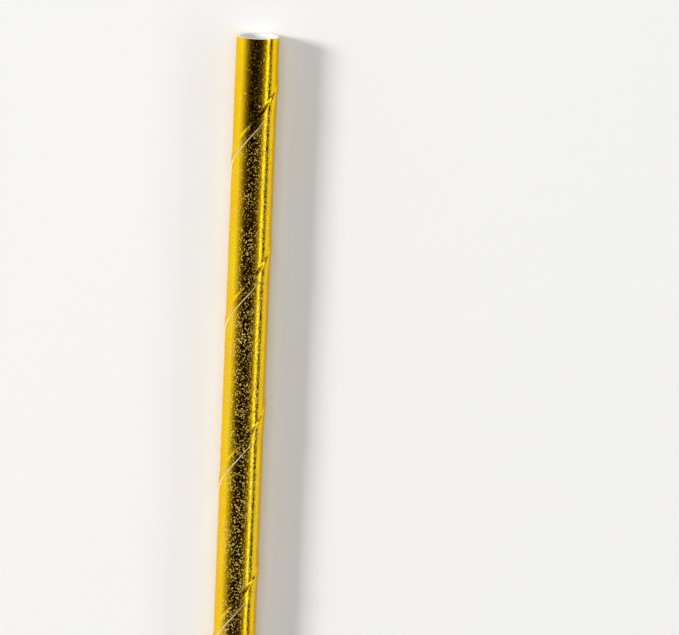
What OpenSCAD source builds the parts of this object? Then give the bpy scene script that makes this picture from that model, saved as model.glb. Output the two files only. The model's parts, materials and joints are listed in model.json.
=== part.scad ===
// Gold foil paper drinking straw, lying on its side. Sizes are in millimetres.
// +X runs along the straw to its upper end, +Z is up, and Z = 0 is the surface it lies on.
// A white paper tube is wrapped in one foil-faced strip. The strip winds round as a right-handed
// helix, and its cut edge laps over the turn before, so a low raised seam climbs the straw.

/* [Straw] */
// Length from cut end to cut end
straw_length = 197; // [100:1:300]
// Diameter of the bore
bore_d = 5.1; // [3:0.1:12]
// Wall of the white tube, its plies glued into one
tube_wall = 0.3; // [0.2:0.05:0.8]

/* [Foil wrap] */
// Thickness of the foil-faced strip
foil_ply = 0.15; // [0.06:0.01:0.25]
// Rise of the helical seam in one turn
wrap_pitch = 23.09; // [14:0.01:40]
// Width of the double layer, measured along the straw
lap_width = 1.443; // [0.6:0.001:2.5]
// Width of the crease where the strip comes down again, measured along the straw
crease_width = 0.5; // [0.3:0.05:2]
// Where the seam starts on the lower end's rim, from the underside to the middle of its crest
seam_start = 180; // [0:1:359]
// How much prouder the seam stands at the cut ends, where its plies spring apart a little
end_spring = 0.03; // [0:0.01:0.1]

/* [Hidden] */

// Radii of the bonded face between the layers, of the foil face and of the seam's crest
bond_r = bore_d / 2 + tube_wall;
foil_r = bond_r + foil_ply;
crest_r = foil_r + foil_ply;

// The seam climbs in equal steps, so its crest keeps to a set of flats round the straw. There are
// enough of them for the middle of each to stand at least half a strip proud of the foil face.
flats = 4 * ceil(45 / acos((foil_r + foil_ply / 2) / crest_r));
flat_angle = 360 / flats;
step_rise = wrap_pitch / flats;

// The helix sets out from the underside, this far below the straw's lower end
seam_drop = wrap_pitch * seam_start / 360;
// It is made in two halves, which meet on a step near the middle of the length
low_steps = round((straw_length / 2 + seam_drop) / step_rise);
high_steps = ceil((straw_length + seam_drop) / step_rise) + 1 - low_steps;

// The straw rests on those flats, near both ends
rest_h = (crest_r + end_spring) * cos(flat_angle / 2);

// Angles that the lap and its crease span in a section across the straw
lap_angle = 360 * lap_width / wrap_pitch;
crease_angle = 360 * crease_width / wrap_pitch;
// The crease runs out halfway through the strip, and the seam's root is deep in the blank
crease_end_r = bond_r + foil_ply / 2;
root_r = bond_r / 2;

// What a cut runs past the ends
overrun = 1;

// Point at a radius and an angle
function polar(r, a) = [r * cos(a), r * sin(a)];

// Radius of the crest's flats at an angle from one of their corners
function crest_at(a) =
    crest_r * cos(flat_angle / 2) / cos(a - flat_angle * floor(a / flat_angle) - flat_angle / 2);

// How many chords of at most one flat make up an angle
function chords(span) = max(1, ceil(span / flat_angle - 0.01));

// Section of the seam: the strip's cut edge is the step, and the crease is the ramp
module seam_section() {
    lap_chords = chords(lap_angle);
    ramp_chords = chords(crease_angle);
    foot_angle = -lap_angle - crease_angle;
    lap = [
        for (i = [0:lap_chords])
            let (a = -min(i * flat_angle, lap_angle)) polar(crest_at(a), a)
    ];
    ramp = [
        for (i = [1:ramp_chords])
            let (t = i / ramp_chords)
                polar(crest_r + t * (crease_end_r - crest_r), -lap_angle - t * crease_angle)
    ];
    polygon(concat(lap, ramp, [polar(root_r, foot_angle), polar(root_r, 0)]));
}

// Half of the helical seam, from the middle of the length out past one end
module half_seam(steps, way) {
    linear_extrude(
        height = steps * step_rise,
        twist = -way * steps * flat_angle,
        slices = steps,
        scale = 1 + end_spring / crest_r * steps * step_rise / (straw_length / 2)
    )
        rotate(flat_angle / 2 + low_steps * flat_angle) seam_section();
}

// The helical seam, cut off square with the straw at both ends
module lapped_seam() {
    intersection() {
        translate([0, 0, low_steps * step_rise - seam_drop]) {
            half_seam(high_steps, 1);
            mirror([0, 0, 1]) half_seam(low_steps, -1);
        }
        cylinder(h = straw_length, r = crest_r + end_spring + overrun);
    }
}

// Bores what stands on the origin from end to end
module bored(r) {
    difference() {
        children();
        translate([0, 0, -overrun]) cylinder(h = straw_length + 2 * overrun, r = r, $fn = 96);
    }
}

// Lays a standing straw down along X, with its middle over the origin
module laid_down() {
    translate([-straw_length / 2, 0, rest_h]) rotate([0, 90, 0]) children();
}

module paper_tube() {
    color("white") laid_down() bored(bore_d / 2) cylinder(h = straw_length, r = bond_r, $fn = 96);
}

module foil_wrap() {
    color("gold") laid_down() bored(bond_r) union() {
        cylinder(h = straw_length, r = foil_r, $fn = 96);
        lapped_seam();
    }
}

paper_tube();
foil_wrap();
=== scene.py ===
"""Looks of the gold foil paper straw: the wound strip with its lapped seam, the white paper tube,
a pale floor, soft light and a camera that looks down on the lying straw. Units are metres."""

import json
import math

import bmesh
import bpy
import numpy as np
from mathutils import Matrix, Vector

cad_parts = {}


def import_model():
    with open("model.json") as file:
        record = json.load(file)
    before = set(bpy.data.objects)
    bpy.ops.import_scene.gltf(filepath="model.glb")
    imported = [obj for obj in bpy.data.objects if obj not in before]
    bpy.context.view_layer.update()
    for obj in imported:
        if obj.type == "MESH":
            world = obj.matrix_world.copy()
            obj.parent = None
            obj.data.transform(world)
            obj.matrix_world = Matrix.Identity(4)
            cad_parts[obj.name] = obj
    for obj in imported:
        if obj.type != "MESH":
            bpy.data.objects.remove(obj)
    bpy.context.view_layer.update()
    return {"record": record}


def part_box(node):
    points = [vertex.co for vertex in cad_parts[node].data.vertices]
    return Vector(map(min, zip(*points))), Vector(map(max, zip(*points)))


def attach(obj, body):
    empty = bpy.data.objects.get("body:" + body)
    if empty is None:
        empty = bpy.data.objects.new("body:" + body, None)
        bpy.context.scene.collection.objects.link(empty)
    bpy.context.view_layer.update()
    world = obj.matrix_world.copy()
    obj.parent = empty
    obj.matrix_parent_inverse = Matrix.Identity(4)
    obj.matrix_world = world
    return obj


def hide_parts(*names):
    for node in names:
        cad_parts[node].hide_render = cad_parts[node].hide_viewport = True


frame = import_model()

MM = 0.001

# Sizes, from the frame

tube_lo, tube_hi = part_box("paper_tube")
wrap_lo, wrap_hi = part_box("foil_wrap")
mounts = {m["name"]: m for m in frame["record"]["mounts"]}

# What the crest keeps inside the frame's box, and each bonded face from where the two meet
HAIR = 0.001 * MM

X0, X1 = wrap_lo.x, wrap_hi.x
AXIS_Z = (wrap_lo.z + wrap_hi.z) / 2
BORE_R = mounts["bore"]["dims"]["r_mm"] * MM
FOIL_R = mounts["barrel"]["dims"]["r_mm"] * MM
BOND_R = (tube_hi.z - tube_lo.z) / 2
CREST_R = min(wrap_hi.z - wrap_lo.z, wrap_hi.y - wrap_lo.y) / 2 - HAIR

# The seam's helix: angles run from the underside towards +Y, and the cut edge leads the crest.
# The edge is drawn 4.5 degrees ahead of the solid's, where the photo has it.
PITCH = 23.09 * MM
EDGE_AT_START = 195.75
# The helix's angle to a ring round the straw
LEAD = math.atan2(PITCH, 2 * math.pi * FOIL_R)


def edge_angle(x):
    """Angle of the strip's cut edge at a place along the straw, in degrees."""
    return EDGE_AT_START + 360 * (x - X0) / PITCH


def on_strip(x, degrees):
    """Place on the flat strip in millimetres, along it and across it."""
    arc = math.radians(1) * FOIL_R * degrees
    along = arc * math.cos(LEAD) + x * math.sin(LEAD)
    across = x * math.cos(LEAD) - arc * math.sin(LEAD)
    return along / MM, across / MM


# Where the strip ends at the straw's upper end, in millimetres along it
STRIP_END = on_strip(X1, edge_angle(X1))[0]


# Shapes

def smooth(t):
    """Eases from 0 to 1."""
    t = np.clip(t, 0, 1)
    return t * t * (3 - 2 * t)


class Waves:
    """Smooth seeded noise on the straw's surface, from about -1 to 1, that closes round the straw."""

    def __init__(self, seed, count, round_it, length_mm):
        rng = np.random.default_rng(seed)
        self.k = rng.integers(round_it[0], round_it[1] + 1, count)
        self.w = 2 * math.pi / (rng.uniform(*length_mm, count) * MM) * rng.choice([-1, 1], count)
        self.p = rng.uniform(0, 2 * math.pi, count)

    def at(self, x, degrees):
        t = np.radians(degrees)
        total = sum(np.sin(k * t + w * x + p) for k, w, p in zip(self.k, self.w, self.p))
        return np.tanh(total / math.sqrt(len(self.k)))


def place(x, degrees, r):
    """Points at a place along the straw, an angle from the underside and a radius."""
    t = np.radians(degrees)
    return np.stack([x + 0 * t, r * np.sin(t), AXIS_Z - r * np.cos(t)], -1)


def ring_of(count):
    """Even angles round the straw, in degrees."""
    return np.arange(count) * 360 / count


def grid_faces(first, rows, columns):
    """Quads of a closed grid whose points are numbered row by row from first."""
    i, j = np.meshgrid(np.arange(rows - 1), np.arange(columns), indexing="ij")
    here, up, k = i * columns, (i + 1) * columns, (j + 1) % columns
    quads = np.stack([here + j, here + k, up + k, up + j], -1)
    return (quads.reshape(-1, 4) + first).tolist()


def ring_faces(a, a_degrees, b, b_degrees):
    """Triangles between two rings of points, given by their numbers and angles."""
    a_order = np.argsort(np.mod(a_degrees, 360), kind="stable")
    b_order = np.argsort(np.mod(b_degrees, 360), kind="stable")
    a, b = np.asarray(a)[a_order], np.asarray(b)[b_order]
    at, bt = np.mod(a_degrees, 360)[a_order], np.mod(b_degrees, 360)[b_order]
    n, m, i, j, faces = len(a), len(b), 0, 0, []
    while i < n or j < m:
        next_a = at[(i + 1) % n] + 360 * ((i + 1) // n)
        next_b = bt[(j + 1) % m] + 360 * ((j + 1) // m)
        if j == m or (i < n and next_a <= next_b):
            faces.append([int(a[i % n]), int(a[(i + 1) % n]), int(b[j % m])])
            i += 1
        else:
            faces.append([int(a[i % n]), int(b[(j + 1) % m]), int(b[j % m])])
            j += 1
    return faces


def make_piece(name, points, faces, which, materials, node, sharp_degrees, strip=None):
    """A closed mesh from numbered points, which stands for a node of the frame."""
    me = bpy.data.meshes.new(name)
    me.from_pydata(points.tolist(), [], faces)
    for m in materials:
        me.materials.append(m)
    me.polygons.foreach_set("material_index", which)
    if strip is not None:
        at = me.attributes.new("strip", "FLOAT_VECTOR", "CORNER")
        at.data.foreach_set("vector", strip(me).ravel())
    bm = bmesh.new()
    bm.from_mesh(me)
    bmesh.ops.recalc_face_normals(bm, faces=bm.faces)
    bm.to_mesh(me)
    bm.free()
    me.shade_smooth()
    me.set_sharp_from_angle(angle=math.radians(sharp_degrees))
    ob = bpy.data.objects.new(name, me)
    bpy.context.scene.collection.objects.link(ob)
    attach(ob, "root")
    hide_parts(node)


# Materials

BLACK, WHITE = (0, 0, 0), (1, 1, 1)


def grey(level):
    return (level, level, level)


class Nodes:
    """The node tree of a material or a world, built by short calls."""

    def __init__(self, owner, shader):
        owner.use_nodes = True
        self.owner = owner
        self.tree = owner.node_tree
        self.shader = self.tree.nodes[shader]

    def add(self, kind, **settings):
        node = self.tree.nodes.new(kind)
        for key, value in settings.items():
            setattr(node, key, value)
        return node

    def put(self, socket, value):
        """Links a socket to an output, or sets it to a constant."""
        if isinstance(value, bpy.types.NodeSocket):
            self.tree.links.new(value, socket)
        else:
            socket.default_value = value

    def feed(self, node, **inputs):
        for key, value in inputs.items():
            self.put(node.inputs[key.replace("_", " ")], value)
        return node

    def attribute(self, name):
        return self.add("ShaderNodeAttribute", attribute_name=name).outputs["Vector"]

    def scaled(self, vector, scale):
        return self.feed(self.add("ShaderNodeMapping"), Vector=vector, Scale=scale).outputs["Vector"]

    def noise(self, vector, scale, detail=2.0, roughness=0.5):
        node = self.add("ShaderNodeTexNoise")
        return self.feed(node, Vector=vector, Scale=scale, Detail=detail, Roughness=roughness)

    def cells(self, vector, scale):
        """Distance from the nearest of the scattered points, and that point's own random number."""
        node = self.feed(self.add("ShaderNodeTexVoronoi", feature="F1"), Vector=vector, Scale=scale)
        own = self.feed(self.add("ShaderNodeSeparateColor"), Color=node.outputs["Color"])
        return node.outputs["Distance"], own.outputs["Red"]

    def span(self, value, low, high, **settings):
        """Where a value lies between two others, from 0 to 1."""
        node = self.add("ShaderNodeMapRange", **settings)
        return self.feed(node, Value=value, From_Min=low, From_Max=high).outputs["Result"]

    def ramp(self, value, *stops):
        node = self.add("ShaderNodeValToRGB")
        band = node.color_ramp
        while len(band.elements) < len(stops):
            band.elements.new(0.5)
        for element, (position, colour) in zip(band.elements, stops):
            element.position = position
            element.color = (*colour, 1)
        return self.feed(node, Fac=value).outputs["Color"]

    def math(self, operation, *values):
        node = self.add("ShaderNodeMath", operation=operation)
        for socket, value in zip(node.inputs, values):
            self.put(socket, value)
        return node.outputs[0]

    def mix(self, share, a, b, **settings):
        """Mixes two colours."""
        node = self.add("ShaderNodeMix", data_type="RGBA", **settings)
        for number, value in ((0, share), (6, a), (7, b)):
            self.put(node.inputs[number], (*value, 1) if isinstance(value, tuple) else value)
        return node.outputs[2]

    def bump(self, height, distance, under=None):
        node = self.feed(self.add("ShaderNodeBump"), Height=height, Distance=distance)
        if under is not None:
            self.feed(node, Normal=under)
        return node.outputs["Normal"]


def new_material(name):
    return Nodes(bpy.data.materials.new(name), "Principled BSDF")


def gold_foil():
    """Gold-tinted aluminium foil on paper: bright, with the paper's grain pressed through it."""
    n = new_material("gold_foil")
    # The strip's coordinates are in millimetres, so a scale is in cells a millimetre
    strip = n.attribute("strip")
    along = n.scaled(strip, (0.8, 1.0, 1.0))
    grain = n.noise(along, 5.5, detail=1.0, roughness=0.55).outputs["Fac"]
    mottle = n.noise(strip, 0.9).outputs["Fac"]
    cloud = n.noise(strip, 0.16).outputs["Fac"]
    patch = n.noise(strip, 0.42, detail=1.0).outputs["Fac"]

    # The strip's last turn, at the upper end, is scuffed far less, and the one before it a little less
    full_to, clean_from = STRIP_END - 56.6, STRIP_END - 15.6
    full, less, least = WHITE, grey(0.76), grey(0.28)
    run = n.feed(n.add("ShaderNodeSeparateXYZ"), Vector=strip).outputs["X"]
    run = n.span(run, full_to, clean_from)
    worn = n.ramp(run, (0.0, full), (0.29, less), (0.80, less), (1.0, least))

    # Fine pimples pressed into the foil, uneven in outline, of uneven height, with scuffed tops
    bend_mm = 0.10
    bent = n.add("ShaderNodeVectorMath", operation="MULTIPLY_ADD")
    wobble = n.noise(strip, 8.0, detail=1.0).outputs["Color"]
    for socket, value in zip(bent.inputs, (wobble, (bend_mm, bend_mm, 0.0), along)):
        n.put(socket, value)
    from_dot, own = n.cells(bent.outputs["Vector"], 7.0)
    height = n.ramp(own, (0.44, BLACK), (0.84, WHITE))
    thick = n.ramp(patch, (0.36, grey(0.55)), (0.58, WHITE))
    height = n.math("MULTIPLY", height, n.math("MULTIPLY", thick, worn))
    pimple = n.math("MULTIPLY", n.ramp(from_dot, (0.0, WHITE), (0.54, BLACK)), height)
    speck = n.math("MULTIPLY", n.ramp(from_dot, (0.28, WHITE), (0.50, BLACK)), height)

    # Pinholes in the metal, with the paper showing, in this share of the cells
    pinhole_share = 0.2
    from_pin, own_pin = n.cells(strip, 0.75)
    open_pin = n.math("LESS_THAN", own_pin, pinhole_share)
    hole = n.math("MULTIPLY", n.ramp(from_pin, (0.07, WHITE), (0.12, BLACK)), open_pin)

    deep_gold, plain_gold, pale_gold = (1.0, 0.62, 0.004), (1.0, 0.66, 0.006), (0.98, 0.70, 0.010)
    scuffed, bare_paper = (1.0, 0.78, 0.36), (0.60, 0.48, 0.40)
    tint = n.ramp(cloud, (0.3, deep_gold), (0.55, plain_gold), (0.75, pale_gold))
    colour = n.mix(hole, n.mix(speck, tint, scuffed), bare_paper)
    smooth_face = n.ramp(mottle, (0.3, grey(0.10)), (0.7, grey(0.145)))
    scuffed_roughness, scuffed_dullness = 0.38, 0.65
    rough = n.mix(speck, smooth_face, grey(scuffed_roughness))
    dull = n.math("MAXIMUM", hole, n.math("MULTIPLY", speck, scuffed_dullness))
    metal = n.math("SUBTRACT", 1.0, dull)

    normal = n.bump(mottle, 0.02 * MM)
    normal = n.bump(grain, 0.02 * MM, normal)
    normal = n.bump(pimple, 0.07 * MM, normal)
    n.feed(n.shader, Base_Color=colour, Roughness=rough, Metallic=metal, Normal=normal)
    # The lacquer keeps its gold at a low angle too
    n.feed(n.shader, Specular_Tint=(1.0, 0.80, 0.45, 1))
    return n.owner


def cut_edge():
    """The strip's cut edge: its paper core, stained by glue, and tinted warm all over by painted
    reflection of the gold foil beside it.
    """
    n = new_material("cut_edge")
    strip = n.attribute("strip")
    stain = n.noise(strip, 0.8, detail=3.0).outputs["Fac"]
    fibre = n.noise(strip, 7.0).outputs["Fac"]
    # All three colours carry a painted warm reflection of the gold foil; the darkest adds glue stain
    glue_stain_and_gold_bounce, plain, clean = (0.88, 0.65, 0.44), (0.98, 0.80, 0.60), (1.0, 0.88, 0.70)
    colour = n.ramp(stain, (0.3, glue_stain_and_gold_bounce), (0.5, plain), (0.7, clean))
    normal = n.bump(fibre, 0.02 * MM)
    n.feed(n.shader, Base_Color=colour, Roughness=0.7, Metallic=0.0, Normal=normal)
    return n.owner


def white_paper():
    """Uncoated white straw paper, with fine fibres."""
    n = new_material("white_paper")
    # Object coordinates are in metres, and the fibres lie mostly along the straw
    spot = n.add("ShaderNodeTexCoord").outputs["Object"]
    drawn_out = n.scaled(spot, (400.0, 1100.0, 1100.0))
    fibre = n.noise(drawn_out, 3.0, detail=3.0, roughness=0.6).outputs["Fac"]
    cloud = n.noise(spot, 300.0).outputs["Fac"]
    darker, lighter, flecked = (0.90, 0.885, 0.85), (0.94, 0.935, 0.915), (0.82, 0.80, 0.76)
    tone = n.ramp(cloud, (0.3, darker), (0.7, lighter))
    fleck = n.ramp(fibre, (0.25, flecked), (0.42, WHITE))
    fleck_strength = 0.3
    colour = n.mix(fleck_strength, tone, fleck, blend_type="MULTIPLY")
    normal = n.bump(fibre, 0.015 * MM)
    n.feed(n.shader, Base_Color=colour, Roughness=0.85, Metallic=0.0, Normal=normal)
    return n.owner


GOLD = gold_foil()
PAPER = white_paper()
EDGE = cut_edge()


# The foil-faced strip

# Angle behind the cut edge and share of the strip's thickness, up its bevelled cut edge
BEVEL = [(0.0, -0.10), (-0.4, 0.2), (-1.5, 0.5), (-2.5, 0.78), (-3.5, 1.0)]
# How many of the bevel's steps show the paper core
PALE_STEPS = 3
# Angles behind the cut edge between which the crease comes down, and how far each wanders
CREASE_TOP, TOP_WANDER = -22.9, 0.9
CREASE_FOOT, FOOT_WANDER = -35.0, 1.6
# Past the crease the strip dips a little: how deep in strip thicknesses, how far past it and how wide
DIP, DIP_PAST, DIP_WIDTH = 0.05, 3.0, 3.2
# Just below the cut edge it is pressed in: how deep, and over how many degrees
PRESS, PRESS_WIDTH = 0.10, 4.0
# Heights of the wound paper's waves, and what the seam's crest leaves them below the frame's crest
DRIFT, RIPPLE, CRINKLE = 0.0035 * MM, 0.0022 * MM, 0.0028 * MM
WAVE_ROOM = 0.006 * MM
# Crinkles are full from the cut edge to this angle behind it, and fade past both over so many degrees
CRINKLED_TO, CRINKLE_FADE = -24, 14


def seam_columns():
    """Angles behind the cut edge at which the strip's face has its points, closer where it bends."""
    edge = [degrees for degrees, share in BEVEL]
    crest = list(np.arange(-4.8, -21.5, -1.9))
    crease = list(np.arange(-22.1, -37.6, -1.1))
    near = list(np.arange(-38.9, -47.0, -1.9))
    rest = list(np.linspace(-48.5, -347.0, 98))
    foot = [-350.0, -353.5, -356.2, -358.2, -359.3]
    return np.array(edge + crest + crease + near + rest + foot)


def strip_radius(x, phi):
    """Radius of the strip's face at a place along the straw and an angle behind the cut edge."""
    angle = edge_angle(x) + phi
    drift = Waves(seed=3, count=7, round_it=(1, 4), length_mm=(9, 40)).at(x, angle)
    ripple = Waves(seed=5, count=9, round_it=(3, 9), length_mm=(2.6, 7)).at(x, angle)
    crinkle = Waves(seed=8, count=10, round_it=(6, 22), length_mm=(1.0, 2.2)).at(x, angle)
    top_wander = Waves(seed=12, count=6, round_it=(0, 0), length_mm=(3, 17)).at(x, 0 * angle)
    foot_wander = Waves(seed=13, count=6, round_it=(0, 0), length_mm=(1.6, 9)).at(x, 0 * angle)

    # The double layer: a bevelled cut edge, a flat top and a crease down to the single layer
    bevel_degrees, bevel_share = zip(*reversed(BEVEL))
    bevel = np.interp(phi, bevel_degrees, bevel_share)
    top_end = CREASE_TOP + TOP_WANDER * top_wander
    foot_end = CREASE_FOOT + FOOT_WANDER * foot_wander
    crease = 1 - smooth((top_end - phi) / (top_end - foot_end))
    lap = np.where(phi > bevel_degrees[0], bevel, crease)
    dip = DIP * np.exp(-((phi - foot_end + DIP_PAST) / DIP_WIDTH) ** 2)
    pressed = PRESS * smooth((phi + 360 - PRESS_WIDTH) / -PRESS_WIDTH)
    height = (CREST_R - FOIL_R - WAVE_ROOM) * (lap - dip - pressed)

    past_seam = np.where(phi < -180, phi + 360, np.minimum(phi - CRINKLED_TO, 0))
    near_seam = np.exp(-np.abs(past_seam) / CRINKLE_FADE)
    r = FOIL_R + height + DRIFT * drift + RIPPLE * ripple
    r = r + CRINKLE * near_seam * crinkle
    return np.minimum(r, CREST_R)


def foil_wrap():
    """The foil-faced strip: its face with the seam, its cut ends and its bonded face inside."""
    phi = seam_columns()
    rows_between, margin, inner_count = 596, 0.4 * MM, 64
    ends = np.array([0.0, 0.05, 0.12, 0.24]) * MM
    between = np.linspace(X0 + margin, X1 - margin, rows_between)
    x = np.concatenate([X0 + ends, between, (X1 - ends)[::-1]])
    rows, columns = len(x), len(phi)
    xx, pp = x[:, None] + 0 * phi[None, :], phi[None, :] + 0 * x[:, None]
    r = strip_radius(xx, pp)
    # The cut ends are pressed round a little by the blade
    blade_press, blade_reach = 0.022 * MM, 0.13 * MM
    from_end = np.minimum(xx - X0, X1 - xx)
    r = np.minimum(r - blade_press * (1 - smooth(from_end / blade_reach)), CREST_R)
    angle = edge_angle(xx) + pp
    outer = place(xx, angle, r).reshape(-1, 3)

    inner_angle = ring_of(inner_count)
    inner = [place(np.full(inner_count, end), inner_angle, BOND_R + HAIR) for end in (X0, X1)]
    points = np.concatenate([outer, *inner])
    first = len(outer)
    low = np.arange(inner_count) + first
    high = low + inner_count

    faces = grid_faces(0, rows, columns)
    # Paper shows on the bevelled edge of the strip and on its cut ends
    column = np.tile(np.arange(columns), rows - 1)
    which = list(np.where(column < PALE_STEPS, 2, 0))
    caps = ring_faces(np.arange(columns), angle[0], low, inner_angle)
    caps += ring_faces(np.arange(columns) + (rows - 1) * columns, angle[-1], high, inner_angle)
    bond = grid_faces(first, 2, inner_count)
    faces += caps + bond
    which += [1] * (len(caps) + len(bond))

    def strip(me):
        """Place on the flat strip of each corner of each face, unbroken but at the seam."""
        corner = np.zeros(len(me.loops), np.int32)
        me.loops.foreach_get("vertex_index", corner)
        row = np.minimum(corner // columns, rows - 1)
        col = np.where(corner < first, corner % columns, 0)
        behind = phi[col]
        # The last face of each row ends at the cut edge, a whole turn behind the one it starts from
        face = np.repeat(np.arange(len(me.polygons)), [p.loop_total for p in me.polygons])
        last = (face < (rows - 1) * columns) & (face % columns == columns - 1)
        behind = np.where(last & (col == 0), -360.0, behind)
        along, across = on_strip(x[row], edge_angle(x[row]) + behind)
        return np.stack([along, across, 0 * along], -1)

    make_piece("foil_strip", points, faces, which, [GOLD, PAPER, EDGE], "foil_wrap",
               sharp_degrees=22, strip=strip)


# The white tube

# Pitch of the innermost strip, and where its joint starts, in degrees from the underside
JOINT_PITCH = 26.5 * MM
JOINT_AT_START = 40
# Heights of the waves in the bore and of the fuzz on the cut ends
BORE_WAVE, END_FUZZ = 0.002 * MM, 0.003 * MM
# Angle and depth in millimetres of the points across the joint, which is a fine groove in the bore
JOINT = [(0.0, 0.0), (-1.4, 0.035), (-2.8, 0.035), (-4.2, 0.0)]
# Share of the wall from the bore outwards, and depth in millimetres below the end face: the ply lines
PLIES = [(0.04, 0.0), (0.30, 0.0), (0.335, 0.016), (0.37, 0.0), (0.63, 0.0), (0.665, 0.016),
         (0.70, 0.0), (0.985, 0.0), (1.0, 0.006)]


def paper_tube():
    """Glued white plies: their lines show on the cut ends, and the inner one's joint in the bore."""
    outer_r = BOND_R - HAIR
    rest, rows_between, end_count = 24, 330, 96
    joint_degrees, joint_depth = zip(*JOINT)
    phi = np.concatenate([joint_degrees, np.linspace(-16, -348, rest)])
    depth = np.array(joint_depth + (0.0,) * rest) * MM
    inset, margin = 0.02 * MM, 0.5 * MM
    between = np.linspace(X0 + margin, X1 - margin, rows_between)
    x = np.concatenate([[X0 + inset], between, [X1 - inset]])
    rows, columns = len(x), len(phi)
    xx, pp = x[:, None] + 0 * phi[None, :], phi[None, :] + 0 * x[:, None]
    angle = JOINT_AT_START + 360 * (xx - X0) / JOINT_PITCH + pp
    wave = Waves(seed=21, count=6, round_it=(2, 5), length_mm=(6, 25)).at(xx, angle)
    r = BORE_R + depth[None, :] + BORE_WAVE * wave
    points = [place(xx, angle, r).reshape(-1, 3)]
    faces = grid_faces(0, rows, columns)
    count = rows * columns

    wall = outer_r - BORE_R
    around = ring_of(end_count)
    fuzz = Waves(seed=31, count=12, round_it=(5, 40), length_mm=(5, 9))
    outline = []
    for end, inward, row in ((X0, 1, 0), (X1, -1, rows - 1)):
        last, last_angle = np.arange(columns) + row * columns, angle[row]
        for share, deep in PLIES:
            rough_end = END_FUZZ * (1 + fuzz.at(end + share * MM, around)) / 2
            x_ring = end + inward * (deep * MM + rough_end)
            points.append(place(x_ring, around, BORE_R + share * wall))
            ring = np.arange(end_count) + count
            count += end_count
            faces += ring_faces(last, last_angle, ring, around)
            last, last_angle = ring, around
        outline.append([int(p) for p in last])
    low, high = outline
    for j in range(end_count):
        k = (j + 1) % end_count
        faces.append([low[j], low[k], high[k], high[j]])
    make_piece("white_tube", np.concatenate(points), faces, [0] * len(faces), [PAPER],
               "paper_tube", sharp_degrees=40)


# Surroundings

def floor():
    """A plain pale floor, far wider than any view."""
    half = 6.0
    me = bpy.data.meshes.new("floor")
    me.from_pydata([(-half, -half, 0), (half, -half, 0), (half, half, 0), (-half, half, 0)], [],
                   [(0, 1, 2, 3)])
    ob = bpy.data.objects.new("floor", me)
    bpy.context.scene.collection.objects.link(ob)
    n = new_material("floor")
    pale = (0.94, 0.94, 0.94, 1)
    n.feed(n.shader, Base_Color=pale, Roughness=0.9, Specular_IOR_Level=0.1)
    me.materials.append(n.owner)


# Degrees from straight up, below zero to the right of the picture, and the brightness there
ROOM = [(-90, 0.6), (-87, 0.03), (-73, 0.04), (-68, 0.3), (-65, 1.7), (-57, 1.7), (-52, 0.45),
        (-35, 0.075), (-10, 0.010), (18, 0.004), (36, 0.028), (52, 0.20), (74, 0.68), (88, 0.95)]
# Degrees on either side that the ramp spans
ROOM_SPAN = 100
# The walls past the straw's two ends: their brightness, and how much a way points at them
END_WALLS = 0.85
WALLS_FROM, WALLS_FULL = 0.62, 0.88


def world():
    """A dark brown ceiling over the middle of the floor, between bright walls."""
    studio = bpy.data.worlds.new("studio")
    bpy.context.scene.world = studio
    n = Nodes(studio, "Background")
    way = n.add("ShaderNodeTexCoord").outputs["Generated"]
    split = n.feed(n.add("ShaderNodeSeparateXYZ"), Vector=way).outputs
    lean = n.math("ARCTAN2", split["Y"], split["Z"])
    turned = n.span(lean, math.radians(-ROOM_SPAN), math.radians(ROOM_SPAN))
    # The dark parts are a warm brown
    stops = [((degrees + ROOM_SPAN) / (2 * ROOM_SPAN), (level, level ** 1.12, level ** 1.25))
             for degrees, level in ROOM]
    room = n.ramp(turned, *stops)
    endways = n.math("ABSOLUTE", split["X"])
    walls = n.span(endways, WALLS_FROM, WALLS_FULL, interpolation_type="SMOOTHSTEP")
    n.feed(n.shader, Color=n.mix(walls, room, grey(END_WALLS)), Strength=1.0)


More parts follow.
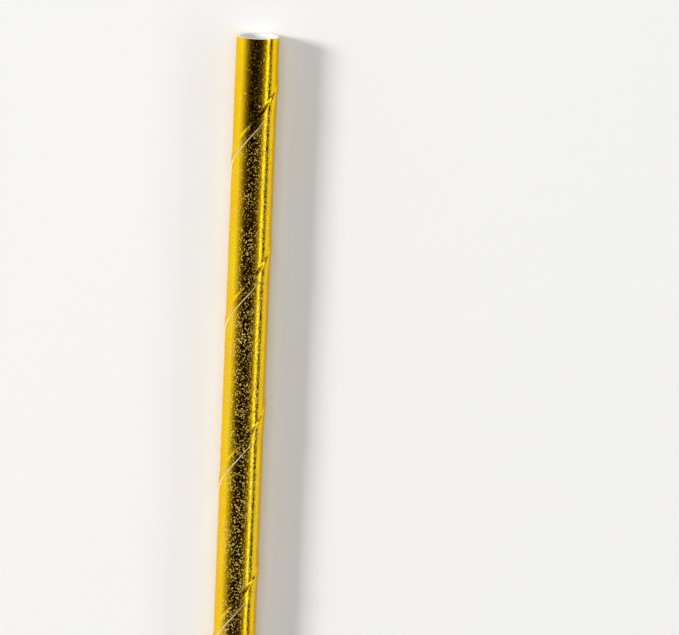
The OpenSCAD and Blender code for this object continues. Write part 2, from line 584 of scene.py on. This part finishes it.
def area_lamp(name, where, size, watts):
    """A square lamp turned to the middle of what the camera sees of the straw, unseen itself."""
    to = (0.05, 0, 0)
    data = bpy.data.lights.new(name, "AREA")
    data.shape = "RECTANGLE"
    data.size, data.size_y = size, size
    data.energy = watts
    ob = bpy.data.objects.new(name, data)
    ob.location = where
    ob.rotation_euler = (Vector(to) - Vector(where)).to_track_quat("-Z", "Y").to_euler()
    bpy.context.scene.collection.objects.link(ob)
    ob.visible_camera = False
    ob.visible_glossy = False


def camera():
    """Looks down on the straw, with its upper end near the picture's top as in the photo."""
    width, height = 679, 635
    distance = 0.8
    px_per_m = 7170.0
    focal = px_per_m * distance
    # The middle of the upper end, its pixel in the photo, and the tilt of the view from straight down
    target = Vector((X1, 0, AXIS_Z))
    target_px = (258.1, 36.0)
    tilt = math.radians(9)
    eye = target + distance * Vector((math.sin(tilt), 0, math.cos(tilt)))
    # The way the straw's upper end points in the photo
    lean = math.radians(2.27)

    right, up = target_px[0] - width / 2, height / 2 - target_px[1]
    seen = Vector((right, up, -focal)).normalized()
    upward = Vector((math.sin(lean), math.cos(lean), 0))
    upward = (upward - upward.dot(seen) * seen).normalized()
    local = Matrix((seen, upward, seen.cross(upward))).transposed()
    gaze = (target - eye).normalized()
    along = Vector((1, 0, 0))
    along = (along - along.dot(gaze) * gaze).normalized()
    real = Matrix((gaze, along, gaze.cross(along))).transposed()
    turn = real @ local.inverted()

    data = bpy.data.cameras.new("camera")
    data.sensor_fit = "HORIZONTAL"
    data.sensor_width = 36
    data.lens = focal * data.sensor_width / width
    data.clip_start, data.clip_end = 0.01, 50
    ob = bpy.data.objects.new("camera", data)
    ob.matrix_world = Matrix.Translation(eye) @ turn.to_4x4()
    bpy.context.scene.collection.objects.link(ob)
    bpy.context.scene.camera = ob


foil_wrap()
paper_tube()
floor()
world()
area_lamp("top", where=(1.0, 0.0, 4.0), size=3.0, watts=55.0)
area_lamp("key", where=(0.7, 2.7, 1.75), size=0.7, watts=82.0)
camera()

bpy.context.scene.view_settings.view_transform = "Standard"
